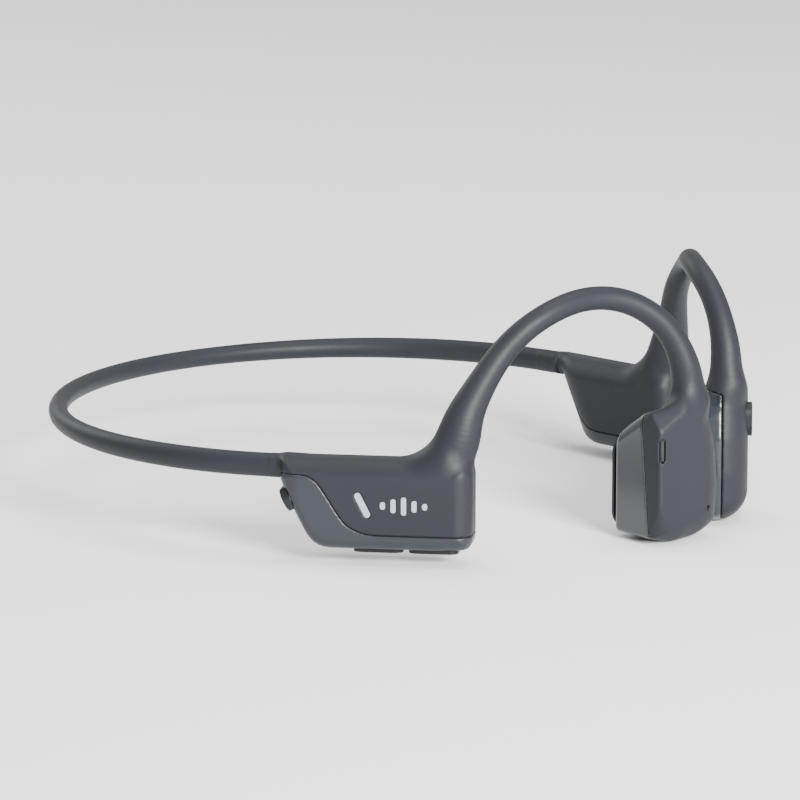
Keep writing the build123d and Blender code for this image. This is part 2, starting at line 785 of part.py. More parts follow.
def make_pods():
    """Every piece of the two pods, with the pieces that vibrate against the cheek."""
    save(pod_shell(False), "right_pod_shell")
    save(mirror(pod_shell(True), about=Plane.YZ), "left_pod_shell")
    save_pair(pod_bezel(), "pod_bezel")
    start = twist_point() + twist_direction() * (twist_gap / 2)
    with BuildPart() as stem:
        sweep_tube(hook_route([start] + hook_front_points, hook_front_radii), hook_tube_radius, bore_radius)
        with BuildPart(mode=Mode.PRIVATE) as neck:
            extrude(pod_outline(-pod_outer, 0, True), amount=2 * pod_outer)
        add(neck.part, mode=Mode.SUBTRACT)
    save_pair(stem.part, "hook_stem")
    with BuildPart() as pad:
        add(pad_slab(0, pad_face, bezel_face - pad_clearance))
        add(pad_slab(pad_neck_inset, pad_face, bezel_face + 2.0))
    save_pair(pad.part, "contact_pad")
    pad_back = bezel_face + 2.0
    with BuildPart() as coil:
        add(pod_post(coil_centre, coil_radius, coil_radius - 0.5, pad_back, pad_back + 3.0))
    save_pair(coil.part, "voice_coil")
    with BuildPart() as yoke:
        add(pod_post(coil_centre, yoke_radius, 0, yoke_open, yoke_back))
        add(pod_post(coil_centre, yoke_radius - 0.7, 0, yoke_open - 0.1, yoke_back - 0.9), mode=Mode.SUBTRACT)
        add(pod_slab(coil_centre, yoke_bridge_size, 0.6, yoke_back - 0.9, yoke_back))
    save_pair(yoke.part, "magnet_yoke")
    save_pair(pod_post(coil_centre, magnet_radius, 0, yoke_open + 0.4, yoke_back - 0.9), "magnet")
    with BuildPart() as spring:
        add(pod_post(coil_centre, yoke_radius, coil_radius + 0.3, yoke_open - 0.3, yoke_open))
    save_pair(spring.part, "suspension_spring")
    save_pair(pod_slab(speaker_centre, speaker_size, 1.2, speaker_low, speaker_high), "air_speaker")
    save_pair(pod_slab(slot_centre, mesh_size, 0.5, mesh_low, mesh_high), "speaker_mesh")
    save_pair(pod_slab(mic_centre, mic_size, 0.3, mic_low, mic_high), "microphone")
    with BuildPart() as button:
        top = pod_outer + round_button_proud
        radius = round_button_size[0] * 0.49
        low = top - round_button_depth
        add(pod_slab(round_button_centre, round_button_size, radius, low, top))
    save(mirror(button.part, about=Plane.YZ), "multifunction_button")
    low = round_switch_low
    with BuildPart() as switch:
        add(pod_slab(round_button_centre, round_switch_size, 0.3, low, low + 0.9))
        add(pod_post(round_button_centre, 0.7, 0, low, low + 1.0))
    save(mirror(switch.part, about=Plane.YZ), "multifunction_switch")


def main():
    os.makedirs("parts", exist_ok=True)
    make_neckband()
    make_arm("right")
    make_arm("left")
    make_hook_strands()
    make_right_electronics()
    make_left_electronics()
    make_pods()


main()
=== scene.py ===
"""Looks of the bone conduction headphones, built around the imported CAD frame.

Shapes are worked in millimetres as signed distance fields and written in metres. The right side
is shaped first; the left side is its mirror image in the plane X = 0, apart from the pieces that
only one side has.
"""

import json
from math import cos, radians, sin

import bpy
import numpy as np
import openvdb
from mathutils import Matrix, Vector


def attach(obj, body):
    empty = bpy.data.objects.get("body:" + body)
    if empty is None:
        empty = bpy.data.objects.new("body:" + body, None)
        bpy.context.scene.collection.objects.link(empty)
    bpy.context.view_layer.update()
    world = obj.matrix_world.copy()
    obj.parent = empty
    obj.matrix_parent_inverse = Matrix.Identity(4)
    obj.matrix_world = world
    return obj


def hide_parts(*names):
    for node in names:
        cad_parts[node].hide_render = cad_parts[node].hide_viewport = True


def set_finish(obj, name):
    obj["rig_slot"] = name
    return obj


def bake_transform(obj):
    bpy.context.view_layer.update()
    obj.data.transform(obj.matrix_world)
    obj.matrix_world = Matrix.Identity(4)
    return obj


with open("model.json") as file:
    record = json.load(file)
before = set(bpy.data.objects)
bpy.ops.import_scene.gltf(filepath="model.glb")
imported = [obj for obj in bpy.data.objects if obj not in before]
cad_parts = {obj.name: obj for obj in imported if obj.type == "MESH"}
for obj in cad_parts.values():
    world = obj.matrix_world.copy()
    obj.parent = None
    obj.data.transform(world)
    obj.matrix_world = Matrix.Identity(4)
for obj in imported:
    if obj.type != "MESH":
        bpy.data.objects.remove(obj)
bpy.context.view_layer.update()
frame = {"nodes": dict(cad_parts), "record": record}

MM = 0.001

# Cells that the shapes are sampled on, and how many of them are kept round a surface.
cell = 0.24
slot_cell = 0.16
mark_cell = 0.12
outline_cell = 0.08
kept_cells = 3

# Half the gap along a parting line, a distance that stands for nothing near, and the largest
# share of an outline's side that one rounded corner may take.
groove = 0.02
far_away = 50.0
corner_share = 0.45

# Neckband, seen from above: arcs of (radius, turn in degrees) from the rear middle forward.
rear_y = 66.9
rear_heading = -90.0
band_z = 16.95
band_arcs = [(60.0, 45.0), (54.0, 55.0), (60.0, 9.0)]
rear_radius = 1.82
arm_radius = 2.17
band_growth = (0.25, 0.85)
band_spacing = 1.2
tube_sides = 48
seam_step = 0.05

# Collar of the module round the end of the band.
collar_reach = 19.5
collar_room = 0.05
collar_lead_in = 0.25
collar_full = 3
collar_taper = 0.1
collar_fillet = 1.0

# Module behind the ear: x forward, y up, z outward.
arm_origin = (-51.16, -18.70)
arm_heading = 19.0
module_points = [(-15.6, 19.1), (-15.6, 15.3), (-9.3, 2.9), (19.25, 2.9), (19.25, 19.1)]
module_radii = [1.0, 2.0, 5.0, 2.4, 3.0]
module_inner = -4.9
module_outer = 5.6
edge_radius = 1.7
top_radius = 4.4
top_range = (11.0, 18.0)
bottom_radius = 2.4
bottom_range = (3.0, 7.0)
front_radius = 3.3
front_range = (12.0, 17.0)
bevel_touch = (-16.1, 14.9, 4.2)
bevel_edge = (0.72, 0.0, -0.69)
bevel_fillet = 2.5
parting_points = [
    (-17.5, 16.3),
    (-11.6, 16.4),
    (-9.0, 15.5),
    (-7.2, 13.2),
    (-4.4, 8.9),
    (-2.6, 7.1),
    (0.7, 5.9),
    (6.5, 5.75),
    (20.0, 5.75),
]
below_module = [(20.0, -4.0), (-17.5, -4.0)]
cover_edge = 0.15
skin_edge = 0.3
cover_box = ((-63.0, -42.0, 1.0), (-38.0, 2.0, 19.0))

# Charging port, volume buttons and light window of the right module.
port_height = 11.7
port_rim_size = (9.8, 4.3)
port_depths = (-0.45, 6.0)
port_room = 0.08
button_size = (9.4, 5.4)
button_corner = 1.4
button_level = 0.35
button_centres = (2.1, 12.1)
button_pocket_top = 4.2
window_centre = (-0.25, 11.3)
window_size = (4.9, 1.15)
window_angle = -63.0
window_room = 0.05
window_floor = 3.0

# Mark on the right module: a row of upright bars.
mark_heights = (1.5, 2.6, 3.4, 2.2, 1.3)
mark_start = 3.4
mark_pitch = 1.9
mark_width = 1.0
mark_corner = 0.45
mark_level = 11.3
mark_sink = 0.08
mark_half_depth = 0.12
mark_box = ((-63.0, -36.0, 8.0), (-50.0, -16.0, 15.0))

# Ear hook: (x, y, z, radius) along its middle line, from inside the module to inside the pod.
hook_points = [
    (-47.7, -29.6, 14.5, 3.8),
    (-46.2, -33.6, 20.5, 4.3),
    (-45.7, -34.6, 25.5, 3.65),
    (-43.9, -36.0, 29.8, 2.95),
    (-40.6, -37.7, 34.6, 2.5),
    (-37.6, -39.7, 38.6, 2.3),
    (-34.6, -42.5, 42.0, 2.2),
    (-30.4, -45.2, 44.3, 2.15),
    (-26.2, -47.2, 45.4, 2.15),
    (-21.8, -49.5, 45.8, 2.15),
    (-17.2, -52.9, 45.0, 2.2),
    (-13.8, -56.6, 42.6, 2.25),
    (-11.4, -59.4, 39.2, 2.3),
    (-10.0, -61.2, 35.3, 2.5),
    (-8.9, -62.5, 30.0, 2.95),
    (-8.5, -62.2, 24.5, 3.2),
    (-8.3, -61.8, 19.0, 3.3),
]
hook_steps = 6
hook_easing = 9
root_fillet = (0.3, 5.0)
root_range = (13.0, 21.0)
root_front_range = (13.5, 18.0)
root_front_loss = 0.6
skin_box = ((-64.0, -71.0, -1.0), (-0.5, 3.0, 50.0))

# Pod in front of the ear: x forward, y up, z outward from the cheek.
pod_origin = (-9.3, -59.9)
pod_turn = 65.0
pod_points = [
    (-8.7, 25.2),
    (-8.7, 1.4),
    (-3.0, 0.0),
    (3.0, 0.0),
    (7.7, 2.2),
    (8.4, 10.0),
    (7.9, 16.5),
    (7.0, 20.5),
    (4.2, 27.3),
    (-3.0, 26.8),
]
pod_radii = [0.8, 1.2, 8.0, 8.0, 4.5, 8.0, 8.0, 8.0, 1.5, 4.0]
pod_outer = 6.3
pod_inner = -6.7
pod_rear_edge = 0.9
pod_heel_edge = 4.0
pod_heel_range = (1.0, 8.0)
pod_front_edge = 6.0
pod_front_range = (-6.5, 3.0)
pod_inner_edge = 1.3
pod_half_gap = 1.2
pod_gap_edge = 1.0
pod_zone = (-12.0, 33.0, 12.0)
shoulder_cut = [(-8.7, 21.5, 6.3), (-2.0, 25.2, 6.3), (-8.7, 25.6, 2.6)]
shoulder_edge = 0.5
fall_touch = (24.9, 1.0)
fall_slope = (9.0, 6.0)
fall_edge = 3.0
neck_fillet = (0.3, 4.5)
neck_range = (20.0, 26.5)
seam_low = 3.3
seam_rise = -0.1
seam_front = 1.3
seam_range = (-7.0, 5.0)
seam_top = 24.4
seam_drop = 4.0
seam_edge = 0.35
bezel_box = ((-22.0, -70.0, -1.0), (0.5, -48.0, 30.0))
bezel_cell = 0.8 * cell

# Contact pad, slot and microphone of each pod, and the round-ended button of the left one.
pad_centre = (-1.95, 10.2)
pad_size = (12.7, 17.0)
pad_room = 0.5
pad_corner = 3.2
pad_recess = 0.5
slot_place = (-7.75, 18.1, 5.6)
slot_radius = 0.68
slot_half = 1.9
slot_sink = 0.6
slot_box = ((-20.0, -72.0, 3.0), (-6.0, -52.0, 22.0))
mic_place = (3.2, 6.2)
mic_radius = 0.45
mic_floor = 4.8
mic_mesh_level = 4.9
mic_mesh_half = 0.25
mic_mesh_lap = 0.1
pod_button_centre = (0.6, 19.0)
pod_button_pocket = (4.8, 6.8)
pod_button_corner = 2.3
pod_button_floor = 4.9

# Spring wires and cables inside the band and the hooks.
strand_radius = 0.5
strand_offset = 0.65
strand_sides = 12
hook_across = (-0.4938, 0.8696, 0.0)

# Edge bevel of the buttons, the pads and the port's rim.
bevel_width = 0.25
bevel_segments = 3

# Camera, light and floor.
camera_place = (-788.50, -403.41, 195.02)
camera_forward = (0.872593, 0.447678, -0.195360)
camera_lens = 213.56
camera_sensor = 36.0
world_strength = 0.8
lamps = (
    ("key", (-0.60, -0.90, 0.42), 0.4, 44.0),
    ("top", (0.1, -0.1, 1.1), 0.9, 9.0),
    ("rim", (0.3, 0.8, 0.5), 0.5, 3.0),
)
lamp_aim = (0.0, 0.0, 0.02)
floor_size = 6.0
floor_color = (0.86, 0.86, 0.86, 1)
floor_roughness = 0.9


def smoothstep(value, low, high):
    """Smooth share from 0 at the low value to 1 at the high value."""
    share = np.clip((value - low) / (high - low), 0.0, 1.0)
    return share * share * (3.0 - 2.0 * share)


def smooth_min(a, b, width):
    """Union of two distances with a fillet of about the given width."""
    blend = np.maximum(width - np.abs(a - b), 0.0) / width
    return np.minimum(a, b) - blend * blend * width * 0.25


def smooth_max(a, b, width):
    """Intersection of two distances with a rounded edge of about the given width."""
    return -smooth_min(-a, -b, width)


def level_axes(heading):
    """Forward and outward level directions of a plane heading the given degrees from -Y."""
    forward = np.array([sin(radians(heading)), -cos(radians(heading))])
    outward = np.array([-cos(radians(heading)), -sin(radians(heading))])
    return forward, outward


# Outlines and their distance tables


def rounded_outline(points, radii, steps=8):
    """Polygon with each corner replaced by an arc of the given radius."""
    result = []
    count = len(points)
    for index, (point, radius) in enumerate(zip(points, radii)):
        corner = np.array(point, float)
        before = np.array(points[index - 1], float) - corner
        after = np.array(points[(index + 1) % count], float) - corner
        reach_before = np.linalg.norm(before)
        reach_after = np.linalg.norm(after)
        before /= reach_before
        after /= reach_after
        half = np.arccos(np.clip(before @ after, -1, 1)) / 2
        cut = min(radius / np.tan(half), corner_share * reach_before, corner_share * reach_after)
        start = corner + before * cut
        end = corner + after * cut
        for share in np.linspace(0, 1, steps):
            near = start + (corner - start) * share
            far = corner + (end - corner) * share
            result.append(near + (far - near) * share)
    return np.array(result)


def smooth_line(points, steps=12):
    """Catmull-Rom curve through points of any dimension."""
    nodes = np.array(points, float)
    padded = np.vstack([2 * nodes[0] - nodes[1], nodes, 2 * nodes[-1] - nodes[-2]])
    result = []
    for index in range(1, len(padded) - 2):
        a, b, c, d = padded[index - 1 : index + 3]
        for share in np.linspace(0, 1, steps, endpoint=False):
            square = share * share
            cube = square * share
            result.append(
                0.5 * (2 * b + (c - a) * share + (2 * a - 5 * b + 4 * c - d) * square)
                + 0.5 * (3 * b - a - 3 * c + d) * cube
            )
    result.append(nodes[-1])
    return np.array(result)


def eased(path, window):
    """Path with each point replaced by the mean of its neighbours."""
    padded = np.pad(path, ((window // 2, window // 2), (0, 0)), mode="edge")
    share = np.ones(window) / window
    columns = [np.convolve(padded[:, k], share, mode="valid") for k in range(path.shape[1])]
    return np.stack(columns, axis=1)


class Outline:
    """Signed distance to a closed outline, looked up from a table."""

    step = outline_cell

    def __init__(self, points, margin=6.0):
        points = np.asarray(points, float)
        self.low = points.min(0) - margin
        high = points.max(0) + margin
        self.size = np.ceil((high - self.low) / self.step).astype(int) + 1
        x = self.low[0] + self.step * np.arange(self.size[0])[:, None]
        y = self.low[1] + self.step * np.arange(self.size[1])[None, :]
        nearest = np.full(self.size, 1e9)
        inside = np.zeros(self.size, bool)
        for start, end in zip(points, np.roll(points, -1, axis=0)):
            run = end - start
            length = run @ run
            if length < 1e-9:
                continue
            share = np.clip(((x - start[0]) * run[0] + (y - start[1]) * run[1]) / length, 0, 1)
            gap = (x - start[0] - share * run[0]) ** 2 + (y - start[1] - share * run[1]) ** 2
            nearest = np.minimum(nearest, gap)
            crosses = (start[1] > y) != (end[1] > y)
            if abs(run[1]) > 1e-9:
                inside ^= crosses & (x < start[0] + (y - start[1]) * run[0] / run[1])
        self.table = np.where(inside, -1, 1) * np.sqrt(nearest)
        self.table = self.table.astype(np.float32)

    def __call__(self, x, y):
        u = np.clip((x - self.low[0]) / self.step, 0, self.size[0] - 1.001)
        v = np.clip((y - self.low[1]) / self.step, 0, self.size[1] - 1.001)
        i = u.astype(np.int32)
        j = v.astype(np.int32)
        u = u - i
        v = v - j
        table = self.table
        low = table[i, j] * (1 - u) + table[i + 1, j] * u
        high = table[i, j + 1] * (1 - u) + table[i + 1, j + 1] * u
        return low * (1 - v) + high * v


class Field:
    """A box of space in which one solid is shaped."""

    def __init__(self, low, high, step=None):
        self.step = step or cell
        self.low = np.array(low, float)
        self.size = np.ceil((np.array(high) - self.low) / self.step).astype(int) + 1
        self.x, self.y, self.z = (
            (self.low[k] + self.step * np.arange(self.size[k])).astype(np.float32) for k in range(3)
        )
        self.x = self.x[:, None, None]
        self.y = self.y[None, :, None]
        self.z = self.z[None, None, :]

    def local(self, origin, heading):
        """Forward, up and outward coordinates of every cell in an upright plane."""
        forward, out = level_axes(heading)
        across = self.x - origin[0]
        ahead = self.y - origin[1]
        zero = np.zeros_like(self.z)
        along = across * forward[0] + ahead * forward[1] + zero
        outward = across * out[0] + ahead * out[1] + zero
        return along, self.z + np.zeros_like(along), outward

    def tube(self, path, reach=4.0):
        """Distance to a round tube along (x, y, z, radius) points."""
        distance = np.full(self.size, far_away, np.float32)
        for start, end in zip(path[:-1], path[1:]):
            grip = max(start[3], end[3]) + reach
            low = np.minimum(start[:3], end[:3]) - grip
            high = np.maximum(start[:3], end[:3]) + grip
            first = np.clip(((low - self.low) / self.step).astype(int), 0, self.size)
            last = np.clip(((high - self.low) / self.step).astype(int) + 1, 0, self.size)
            if (last <= first).any():
                continue
            part = tuple(slice(a, b) for a, b in zip(first, last))
            run = end[:3] - start[:3]
            length = run @ run
            dx = self.x[part[0]] - start[0]
            dy = self.y[:, part[1]] - start[1]
            dz = self.z[:, :, part[2]] - start[2]
            share = np.clip((dx * run[0] + dy * run[1] + dz * run[2]) / length, 0, 1)
            gap = np.sqrt(
                (dx - share * run[0]) ** 2 + (dy - share * run[1]) ** 2 + (dz - share * run[2]) ** 2
            )
            gap = gap - (start[3] + (end[3] - start[3]) * share)
            distance[part] = np.minimum(distance[part], gap)
        return distance


def mesh_from_field(field, distance, name, mirrored=False):
    """Object whose surface is where the distance is zero."""
    grid = openvdb.FloatGrid()
    limit = kept_cells * field.step
    grid.copyFromArray(np.clip(distance, -limit, limit).astype(np.float32))
    points, quads = grid.convertToQuads(isovalue=0.0)
    points = np.asarray(points) * field.step + field.low
    faces = np.asarray(quads)[:, ::-1]
    if mirrored:
        points = points * (-1, 1, 1)
        faces = faces[:, ::-1]
    return mesh_object(name, points, faces.tolist())


def mesh_object(name, points, faces):
    """Smooth-shaded object from points in millimetres."""
    mesh = bpy.data.meshes.new(name)
    mesh.from_pydata((np.asarray(points) * MM).tolist(), [], faces)
    mesh.validate()
    mesh.shade_smooth()
    piece = bpy.data.objects.new(name, mesh)
    bpy.context.scene.collection.objects.link(piece)
    return piece


# Solids


def slab(outline_distance, outward, low, high, radius):
    """Distance to an outline extruded between two outward levels, with rounded edges."""
    middle = (low + high) / 2
    side = outline_distance + radius
    face = np.abs(outward - middle) - (high - low) / 2 + radius
    outer = np.sqrt(np.maximum(side, 0) ** 2 + np.maximum(face, 0) ** 2)
    return outer + np.minimum(np.maximum(side, face), 0) - radius


module_outline = Outline(rounded_outline(module_points, module_radii))
pod_outline = Outline(rounded_outline(pod_points, pod_radii))
cover_outline = Outline(np.vstack([smooth_line(parting_points), below_module]), margin=12.0)
hook_path = eased(smooth_line(hook_points, steps=hook_steps), hook_easing)


def plane_distance(along, up, outward, point, normal):
    """Distance past a plane through a point."""
    normal = np.array(normal) / np.linalg.norm(normal)
    return (
        (along - point[0]) * normal[0] + (up - point[1]) * normal[1] + (outward - point[2]) * normal[2]
    )


def box_bar(x, y, centre, size, radius):
    """Distance to a rounded rectangle in any two coordinates."""
    a = np.abs(x - centre[0]) - size[0] / 2 + radius
    b = np.abs(y - centre[1]) - size[1] / 2 + radius
    outer = np.sqrt(np.maximum(a, 0) ** 2 + np.maximum(b, 0) ** 2)
    return outer + np.minimum(np.maximum(a, b), 0) - radius


def blend_between(piece):
    """Write the piece's placement into its mesh; the piece is not bent."""
    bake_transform(piece)


def blend_hook(piece):
    """Write the piece's placement into its mesh, as blend_between does; the piece is not twisted."""
    blend_between(piece)


def blend_band(piece):
    """Write the piece's placement into its mesh, as blend_between does; the piece is not bent."""
    blend_between(piece)


# Module behind the ear


def module_distance(field, beveled):
    """The whole module, with a rounder top and front than its other edges."""
    along, up, outward = field.local(arm_origin, arm_heading)
    radius = edge_radius + (top_radius - edge_radius) * smoothstep(up, *top_range)
    radius = radius + (bottom_radius - edge_radius) * (1 - smoothstep(up, *bottom_range))
    radius = radius + (front_radius - radius) * smoothstep(along, *front_range)
    solid = slab(module_outline(along, up), outward, module_inner, module_outer, radius)
    if beveled:
        shoulder, heel = np.array(module_points[1]), np.array(module_points[2])
        slope = (heel - shoulder) / np.linalg.norm(heel - shoulder)
        normal = np.cross(bevel_edge, (slope[0], slope[1], 0.0))
        cut = plane_distance(along, up, outward, bevel_touch, normal)
        solid = smooth_max(solid, cut, bevel_fillet)
    return solid, along, up, outward


def port_distance(along, up, outward):
    """Rounded bar on the charging port's axis, from inside the module to behind it."""
    shoulder, heel = np.array(module_points[1]), np.array(module_points[2])
    share = (shoulder[1] - port_height) / (shoulder[1] - heel[1])
    centre = shoulder + (heel - shoulder) * share
    slope = (heel - shoulder) / np.linalg.norm(heel - shoulder)
    depth = (along - centre[0]) * slope[1] - (up - centre[1]) * slope[0]
    side = (along - centre[0]) * slope[0] + (up - centre[1]) * slope[1]
    across = outward - (module_inner + module_outer) / 2
    radius = port_rim_size[1] / 2
    half = port_rim_size[0] / 2 - radius
    pill = np.sqrt(np.maximum(np.abs(across) - half, 0) ** 2 + side**2) - radius
    return np.maximum(pill, np.maximum(port_depths[0] - depth, depth - port_depths[1]))


def window_distance(along, up):
    """Slanted pill on the module's outer face."""
    turn = radians(window_angle)
    x = along - window_centre[0]
    y = up - window_centre[1]
    run = x * cos(turn) + y * sin(turn)
    off = -x * sin(turn) + y * cos(turn)
    radius = window_size[1] / 2
    half = window_size[0] / 2 - radius
    return np.sqrt(np.maximum(np.abs(run) - half, 0) ** 2 + off**2) - radius


def build_cover(side):
    """Hard cover round the module's rear and underside."""
    left = side == "left"
    field = Field(*cover_box)
    solid, along, up, outward = module_distance(field, left)
    solid = smooth_max(solid, cover_outline(along, up) + groove, cover_edge)
    if not left:
        solid = np.maximum(solid, port_room - port_distance(along, up, outward))
        for centre in button_centres:
            bar = box_bar(along, outward, (centre, button_level), button_size, button_corner)
            solid = np.maximum(solid, -np.maximum(bar, up - button_pocket_top))
    piece = mesh_from_field(field, solid, f"visual_{side}_cover", mirrored=left)
    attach(piece, f"{side}_arm")
    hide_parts(f"{side}_module_cover")
    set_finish(piece, "hard_cover")
    return piece


# Pod in front of the ear


def pod_seam_level(along, up):
    """Outward level of the seam between the pod's two housings, slanted on the rear wall."""
    front = smoothstep(along, *seam_range)
    level = (seam_low + seam_rise * up) * (1 - front) + seam_front * front
    return level - seam_drop * np.maximum(up - seam_top, 0.0)


def in_pod_zone(along, up, outward):
    """True in the pod and its neck, where only the pod's own shape counts."""
    rear, top, half = pod_zone
    return (up < top) & (along > rear) & (np.abs(outward) < half)


def pod_distance(field, hook):
    """Both housings of the pod together, with the foot of the hook grown into them."""
    along, up, outward = field.local(pod_origin, pod_turn)
    heel = 1 - smoothstep(up, *pod_heel_range)
    front = smoothstep(along, *pod_front_range)
    radius = pod_rear_edge + (pod_heel_edge - pod_rear_edge) * heel * (1 - front)
    radius = radius + (pod_front_edge - pod_rear_edge) * front
    radius = np.where(outward < 0, pod_inner_edge, radius)
    solid = slab(pod_outline(along, up), outward, pod_inner, pod_outer, radius)
    first, second, third = (np.array(point) for point in shoulder_cut)
    normal = np.cross(second - first, third - first)
    normal *= np.sign(normal[1])
    shoulder = plane_distance(along, up, outward, first, normal)
    solid = smooth_max(solid, shoulder, shoulder_edge)
    rise = (up - fall_touch[0]) * fall_slope[0] - (outward - fall_touch[1]) * fall_slope[1]
    solid = smooth_max(solid, rise / np.linalg.norm(fall_slope), fall_edge)
    fillet = neck_fillet[0] + (neck_fillet[1] - neck_fillet[0]) * smoothstep(up, *neck_range)
    solid = smooth_min(solid, hook, fillet)
    solid = smooth_max(solid, field.x + pod_half_gap, pod_gap_edge)
    return solid, along, up, outward


def mic_distance(along, up, radius):
    """Distance to the microphone's round hole."""
    return np.sqrt((along - mic_place[0]) ** 2 + (up - mic_place[1]) ** 2) - radius


def slot_distance(along, up, outward, sink):
    """Distance to the slot's capsule, sunk into the housing by the given depth."""
    run = np.clip(up - slot_place[1], -slot_half, slot_half)
    ahead = along - slot_place[0] - sink
    out = outward - slot_place[2] + sink
    return np.sqrt(ahead**2 + out**2 + (up - slot_place[1] - run) ** 2) - slot_radius


def carve_pod(skin, along, up, outward, left):
    """Slot, microphone hole and button pocket of the pod's outer housing."""
    skin = np.maximum(skin, -slot_distance(along, up, outward, 0.0))
    skin = np.maximum(skin, -np.maximum(mic_distance(along, up, mic_radius), mic_floor - outward))
    if left:
        pocket = box_bar(along, up, pod_button_centre, pod_button_pocket, pod_button_corner)
        skin = np.maximum(skin, -np.maximum(pocket, pod_button_floor - outward))
    return skin


def build_bezel(side):
    """Glossy inner housing of the pod, with a top that falls towards the cheek."""
    left = side == "left"
    field = Field(*bezel_box, step=bezel_cell)
    solid, along, up, outward = pod_distance(field, field.tube(hook_path))
    solid = smooth_max(solid, outward - pod_seam_level(along, up) + groove, seam_edge)
    size = (pad_size[0] + pad_room, pad_size[1] + pad_room)
    recess = box_bar(along, up, pad_centre, size, pad_corner)
    solid = np.maximum(solid, -np.maximum(recess, outward - pod_inner - pad_recess))
    piece = mesh_from_field(field, solid, f"visual_{side}_bezel", mirrored=left)
    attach(piece, f"{side}_pod")
    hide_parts(f"{side}_pod_bezel")
    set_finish(piece, "gloss_housing")
    return piece


def build_dark_slots(side):
    """Dark mesh seen through the pod's slot and at the foot of the microphone hole."""
    left = side == "left"
    field = Field(*slot_box, step=slot_cell)
    along, up, outward = field.local(pod_origin, pod_turn)
    capsule = slot_distance(along, up, outward, slot_sink)
    hole = mic_distance(along, up, mic_radius) - mic_mesh_lap
    disc = np.maximum(hole, np.abs(outward - mic_mesh_level) - mic_mesh_half)
    piece = mesh_from_field(
        field, np.minimum(capsule, disc), f"visual_{side}_slot_mesh", mirrored=left
    )
    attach(piece, f"{side}_pod")
    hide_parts(f"{side}_speaker_mesh")
    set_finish(piece, "mesh")
    return piece


# Soft skin


def build_skin(side):
    """Soft skin of the module, the ear hook and the pod's outer housing, all in one."""
    left = side == "left"
    field = Field(*skin_box)
    module, along, up, outward = module_distance(field, left)
    skin = smooth_max(module, -cover_outline(along, up) + groove, skin_edge)
    skin = smooth_min(skin, field.tube(collar_path()), collar_fillet)
    if not left:
        skin = np.maximum(skin, port_room - port_distance(along, up, outward))
        window = window_distance(along, up) - window_room
        skin = np.maximum(skin, -np.maximum(window, window_floor - outward))
    hook = field.tube(hook_path)
    growth = smoothstep(up, *root_range) * (1 - root_front_loss * smoothstep(along, *root_front_range))
    skin = smooth_min(skin, hook, root_fillet[0] + (root_fillet[1] - root_fillet[0]) * growth)
    pod, along, up, outward = pod_distance(field, hook)
    pod = smooth_max(pod, pod_seam_level(along, up) + groove - outward, seam_edge)
    skin = np.minimum(np.where(in_pod_zone(along, up, outward), far_away, skin), pod)
    skin = carve_pod(skin, along, up, outward, left)
    piece = mesh_from_field(field, skin, f"visual_{side}_skin", mirrored=left)
    blend_hook(piece)
    nodes = ("module_skin", "hook_skin", "hook_stem", "pod_shell")
    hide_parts(*(f"{side}_{node}" for node in nodes))
    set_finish(piece, "silicone_skin")
    return piece


# Neckband


def band_line():
    """Level points (x, y) with headings, from the rear middle to the end inside the module."""
    points = []
    position = np.array([0.0, rear_y])
    heading = rear_heading
    for radius, turn in band_arcs:
        steps = max(2, int(radius * radians(turn) / band_spacing))
        for index in range(steps):
            points.append((position.copy(), heading + turn * index / steps))
            middle = radians(heading + turn * (index + 0.5) / steps)
            chord = 2 * radius * sin(radians(turn / steps) / 2)
            position = position + chord * np.array([sin(middle), -cos(middle)])
        heading += turn
    points.append((position.copy(), heading))
    return points


def collar_path():
    """Tube of the short collar where the band enters the module."""
    ends = [place for place, _ in band_line() if np.linalg.norm(place - arm_origin) < collar_reach]
    path = []
    for index, place in enumerate(ends):
        radius = arm_radius + collar_room - collar_taper * max(0, index - collar_full)
        if index == 0:
            radius -= collar_lead_in
        path.append((place[0], place[1], band_z, radius))
    return np.array(path)


def build_tube(name, rings, mirrored):
    """Closed tube over an array of rings, each a closed loop of points."""
    count = rings.shape[1]
    faces = []
    for row in range(len(rings) - 1):
        for k in range(count):
            a = row * count + k
            b = row * count + (k + 1) % count
            faces.append((a, a + count, b + count, b))
    last = (len(rings) - 1) * count
    faces.append(tuple(range(count)))
    faces.append(tuple(last + k for k in reversed(range(count))))
    points = rings.reshape(-1, 3)
    if mirrored:
        points = points * (-1, 1, 1)
        faces = [face[::-1] for face in faces]
    return mesh_object(name, points, faces)


def build_band(side):
    """Half of the neckband's skin, from the rear middle into the module.

    The second ring lies close to the first, so that the end face doesn't tint the smooth shading.
    """
    left = side == "left"
    line = band_line()
    place, heading = line[0]
    line.insert(1, (place - (seam_step, 0.0), heading))
    angle = 2 * np.pi * np.arange(tube_sides) / tube_sides
    rings = []
    for index, (place, heading) in enumerate(line):
        growth = smoothstep(np.array(index / (len(line) - 1)), *band_growth)
        radius = rear_radius + (arm_radius - rear_radius) * growth
        across = np.array([cos(radians(heading)), sin(radians(heading))])
        level = place + across * radius * np.cos(angle)[:, None]
        rings.append(np.column_stack([level, band_z + radius * np.sin(angle)]))
    piece = build_tube(f"visual_{side}_band", np.array(rings), left)
    for face in list(piece.data.polygons)[-2:]:
        face.use_smooth = False
    blend_band(piece)
    nodes = [f"{side}_band_skin"] + ([] if left else ["neckband_skin"])
    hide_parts(*nodes)
    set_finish(piece, "silicone_skin")
    return piece


# Spring wires and cables inside the band and the hooks


